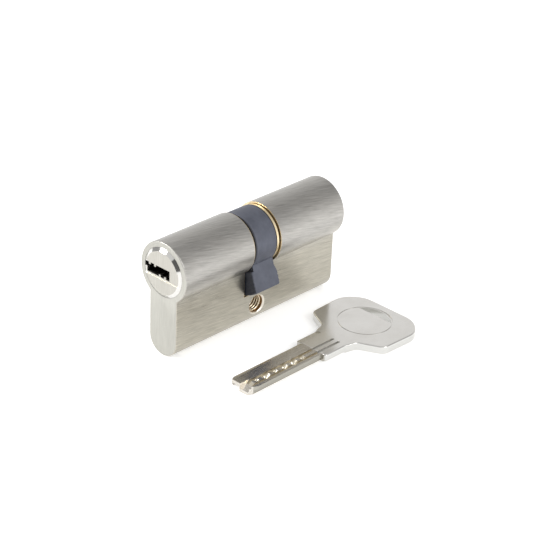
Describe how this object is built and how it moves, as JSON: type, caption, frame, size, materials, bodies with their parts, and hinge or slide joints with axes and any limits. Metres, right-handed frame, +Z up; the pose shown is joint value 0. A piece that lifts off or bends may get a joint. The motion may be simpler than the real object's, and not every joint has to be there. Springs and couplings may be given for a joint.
{
  "type": "euro cylinder",
  "caption": "Euro profile double lock cylinder with pin stacks, retained plugs, clutch-driven cam and a flat dimple key.",
  "frame": {"origin": "on the plug axis, in the plane of the fixing screw, half way along the housing", "axes": "+Y along the plug axis from the front plug to the rear plug, +Z up away from the stem, +X to the right of someone facing the front plug"},
  "size_m": [0.0486, 0.0612, 0.033],
  "materials": {
    "nickel_plate": "nickel plated, brushed",
    "plug_plate": "nickel plated, turned and lapped",
    "cam_steel": "blackened sintered steel",
    "clutch_steel": "hardened, oiled",
    "clip_bronze": "spring bronze, bright",
    "pin_brass": "turned",
    "driver_steel": "turned",
    "guard_steel": "hardened, ground",
    "spring_steel": "drawn wire",
    "raw_brass": "pressed and faced off",
    "key_nickel": "nickel silver, polished bow"
  },
  "bodies": {
    "housing": {"housing": "nickel_plate", "front_housing_guard_pins": "guard_steel", "front_chamber_plugs": "raw_brass", "front_spring_1": "spring_steel", "front_spring_2": "spring_steel", "front_spring_3": "spring_steel", "front_spring_4": "spring_steel", "front_spring_5": "spring_steel", "front_spring_6": "spring_steel", "rear_housing_guard_pins": "guard_steel", "rear_chamber_plugs": "raw_brass", "rear_spring_1": "spring_steel", "rear_spring_2": "spring_steel", "rear_spring_3": "spring_steel", "rear_spring_4": "spring_steel", "rear_spring_5": "spring_steel", "rear_spring_6": "spring_steel"},
    "cam": {"cam": "cam_steel"},
    "front_plug": {"front_plug": "plug_plate", "front_plug_guard_pins": "guard_steel", "front_retaining_ring": "clip_bronze"},
    "front_clutch": {"front_clutch_dog": "clutch_steel"},
    "front_key_pin_1": {"front_key_pin_1": "pin_brass"},
    "front_driver_pin_1": {"front_driver_pin_1": "driver_steel"},
    "front_key_pin_2": {"front_key_pin_2": "pin_brass"},
    "front_driver_pin_2": {"front_driver_pin_2": "driver_steel"},
    "front_key_pin_3": {"front_key_pin_3": "pin_brass"},
    "front_driver_pin_3": {"front_driver_pin_3": "driver_steel"},
    "front_key_pin_4": {"front_key_pin_4": "pin_brass"},
    "front_driver_pin_4": {"front_driver_pin_4": "driver_steel"},
    "front_key_pin_5": {"front_key_pin_5": "pin_brass"},
    "front_driver_pin_5": {"front_driver_pin_5": "driver_steel"},
    "front_key_pin_6": {"front_key_pin_6": "pin_brass"},
    "front_driver_pin_6": {"front_driver_pin_6": "driver_steel"},
    "rear_plug": {"rear_plug": "plug_plate", "rear_plug_guard_pins": "guard_steel", "rear_retaining_ring": "clip_bronze"},
    "rear_clutch": {"rear_clutch_dog": "clutch_steel"},
    "rear_key_pin_1": {"rear_key_pin_1": "pin_brass"},
    "rear_driver_pin_1": {"rear_driver_pin_1": "driver_steel"},
    "rear_key_pin_2": {"rear_key_pin_2": "pin_brass"},
    "rear_driver_pin_2": {"rear_driver_pin_2": "driver_steel"},
    "rear_key_pin_3": {"rear_key_pin_3": "pin_brass"},
    "rear_driver_pin_3": {"rear_driver_pin_3": "driver_steel"},
    "rear_key_pin_4": {"rear_key_pin_4": "pin_brass"},
    "rear_driver_pin_4": {"rear_driver_pin_4": "driver_steel"},
    "rear_key_pin_5": {"rear_key_pin_5": "pin_brass"},
    "rear_driver_pin_5": {"rear_driver_pin_5": "driver_steel"},
    "rear_key_pin_6": {"rear_key_pin_6": "pin_brass"},
    "rear_driver_pin_6": {"rear_driver_pin_6": "driver_steel"},
    "key": {"key": "key_nickel"}
  },
  "joints": [
    {"name": "front_plug_turn", "type": "hinge", "parent": "housing", "child": "front_plug", "pos_m": [0, 0, 0], "axis": [0, 1, 0], "continuous": true},
    {"name": "front_clutch_slide", "type": "slide", "parent": "front_plug", "child": "front_clutch", "axis": [0, 1, 0], "range_m": [0, 0.0008]},
    {"name": "front_key_pin_1_lift", "type": "slide", "parent": "front_plug", "child": "front_key_pin_1", "axis": [0, 0, 1], "range_m": [0, 0.0008]},
    {"name": "front_driver_pin_1_press", "type": "slide", "parent": "housing", "child": "front_driver_pin_1", "axis": [0, 0, -1], "range_m": [0, 0.0012], "stiffness_N_per_m": 200, "springref_m": -0.004, "deforming": ["front_spring_1"]},
    {"name": "front_key_pin_2_lift", "type": "slide", "parent": "front_plug", "child": "front_key_pin_2", "axis": [0, 0, 1], "range_m": [0, 0.0008]},
    {"name": "front_driver_pin_2_press", "type": "slide", "parent": "housing", "child": "front_driver_pin_2", "axis": [0, 0, -1], "range_m": [0, 0.0012], "stiffness_N_per_m": 200, "springref_m": -0.004, "deforming": ["front_spring_2"]},
    {"name": "front_key_pin_3_lift", "type": "slide", "parent": "front_plug", "child": "front_key_pin_3", "axis": [0, 0, 1], "range_m": [0, 0.0008]},
    {"name": "front_driver_pin_3_press", "type": "slide", "parent": "housing", "child": "front_driver_pin_3", "axis": [0, 0, -1], "range_m": [0, 0.0012], "stiffness_N_per_m": 200, "springref_m": -0.004, "deforming": ["front_spring_3"]},
    {"name": "front_key_pin_4_lift", "type": "slide", "parent": "front_plug", "child": "front_key_pin_4", "axis": [0, 0, 1], "range_m": [0, 0.0008]},
    {"name": "front_driver_pin_4_press", "type": "slide", "parent": "housing", "child": "front_driver_pin_4", "axis": [0, 0, -1], "range_m": [0, 0.0012], "stiffness_N_per_m": 200, "springref_m": -0.004, "deforming": ["front_spring_4"]},
    {"name": "front_key_pin_5_lift", "type": "slide", "parent": "front_plug", "child": "front_key_pin_5", "axis": [0, 0, 1], "range_m": [0, 0.0008]},
    {"name": "front_driver_pin_5_press", "type": "slide", "parent": "housing", "child": "front_driver_pin_5", "axis": [0, 0, -1], "range_m": [0, 0.0012], "stiffness_N_per_m": 200, "springref_m": -0.004, "deforming": ["front_spring_5"]},
    {"name": "front_key_pin_6_lift", "type": "slide", "parent": "front_plug", "child": "front_key_pin_6", "axis": [0, 0, 1], "range_m": [0, 0.0008]},
    {"name": "front_driver_pin_6_press", "type": "slide", "parent": "housing", "child": "front_driver_pin_6", "axis": [0, 0, -1], "range_m": [0, 0.0012], "stiffness_N_per_m": 200, "springref_m": -0.004, "deforming": ["front_spring_6"]},
    {"name": "rear_plug_turn", "type": "hinge", "parent": "housing", "child": "rear_plug", "pos_m": [0, 0, 0], "axis": [0, 1, 0], "continuous": true},
    {"name": "rear_clutch_slide", "type": "slide", "parent": "rear_plug", "child": "rear_clutch", "axis": [0, 1, 0], "range_m": [0, 0.0008]},
    {"name": "rear_key_pin_1_lift", "type": "slide", "parent": "rear_plug", "child": "rear_key_pin_1", "axis": [0, 0, 1], "range_m": [0, 0.0008]},
    {"name": "rear_driver_pin_1_press", "type": "slide", "parent": "housing", "child": "rear_driver_pin_1", "axis": [0, 0, -1], "range_m": [0, 0.0012], "stiffness_N_per_m": 200, "springref_m": -0.004, "deforming": ["rear_spring_1"]},
    {"name": "rear_key_pin_2_lift", "type": "slide", "parent": "rear_plug", "child": "rear_key_pin_2", "axis": [0, 0, 1], "range_m": [0, 0.0008]},
    {"name": "rear_driver_pin_2_press", "type": "slide", "parent": "housing", "child": "rear_driver_pin_2", "axis": [0, 0, -1], "range_m": [0, 0.0012], "stiffness_N_per_m": 200, "springref_m": -0.004, "deforming": ["rear_spring_2"]},
    {"name": "rear_key_pin_3_lift", "type": "slide", "parent": "rear_plug", "child": "rear_key_pin_3", "axis": [0, 0, 1], "range_m": [0, 0.0008]},
    {"name": "rear_driver_pin_3_press", "type": "slide", "parent": "housing", "child": "rear_driver_pin_3", "axis": [0, 0, -1], "range_m": [0, 0.0012], "stiffness_N_per_m": 200, "springref_m": -0.004, "deforming": ["rear_spring_3"]},
    {"name": "rear_key_pin_4_lift", "type": "slide", "parent": "rear_plug", "child": "rear_key_pin_4", "axis": [0, 0, 1], "range_m": [0, 0.0008]},
    {"name": "rear_driver_pin_4_press", "type": "slide", "parent": "housing", "child": "rear_driver_pin_4", "axis": [0, 0, -1], "range_m": [0, 0.0012], "stiffness_N_per_m": 200, "springref_m": -0.004, "deforming": ["rear_spring_4"]},
    {"name": "rear_key_pin_5_lift", "type": "slide", "parent": "rear_plug", "child": "rear_key_pin_5", "axis": [0, 0, 1], "range_m": [0, 0.0008]},
    {"name": "rear_driver_pin_5_press", "type": "slide", "parent": "housing", "child": "rear_driver_pin_5", "axis": [0, 0, -1], "range_m": [0, 0.0012], "stiffness_N_per_m": 200, "springref_m": -0.004, "deforming": ["rear_spring_5"]},
    {"name": "rear_key_pin_6_lift", "type": "slide", "parent": "rear_plug", "child": "rear_key_pin_6", "axis": [0, 0, 1], "range_m": [0, 0.0008]},
    {"name": "rear_driver_pin_6_press", "type": "slide", "parent": "housing", "child": "rear_driver_pin_6", "axis": [0, 0, -1], "range_m": [0, 0.0012], "stiffness_N_per_m": 200, "springref_m": -0.004, "deforming": ["rear_spring_6"]},
    {"name": "cam_turn", "type": "hinge", "parent": "housing", "child": "cam", "pos_m": [0, 0, 0], "axis": [0, 1, 0], "continuous": true},
    {"name": "key_lift", "type": "slide", "parent": "housing", "child": "key", "axis": [0, 0, 1], "range_m": [0, 0.06]}
  ],
  "couplings": [
    {"joint": "cam_turn", "follows": "front_plug_turn", "ratio": 1},
    {"joint": "rear_clutch_slide", "follows": "front_clutch_slide", "ratio": 1}
  ]
}
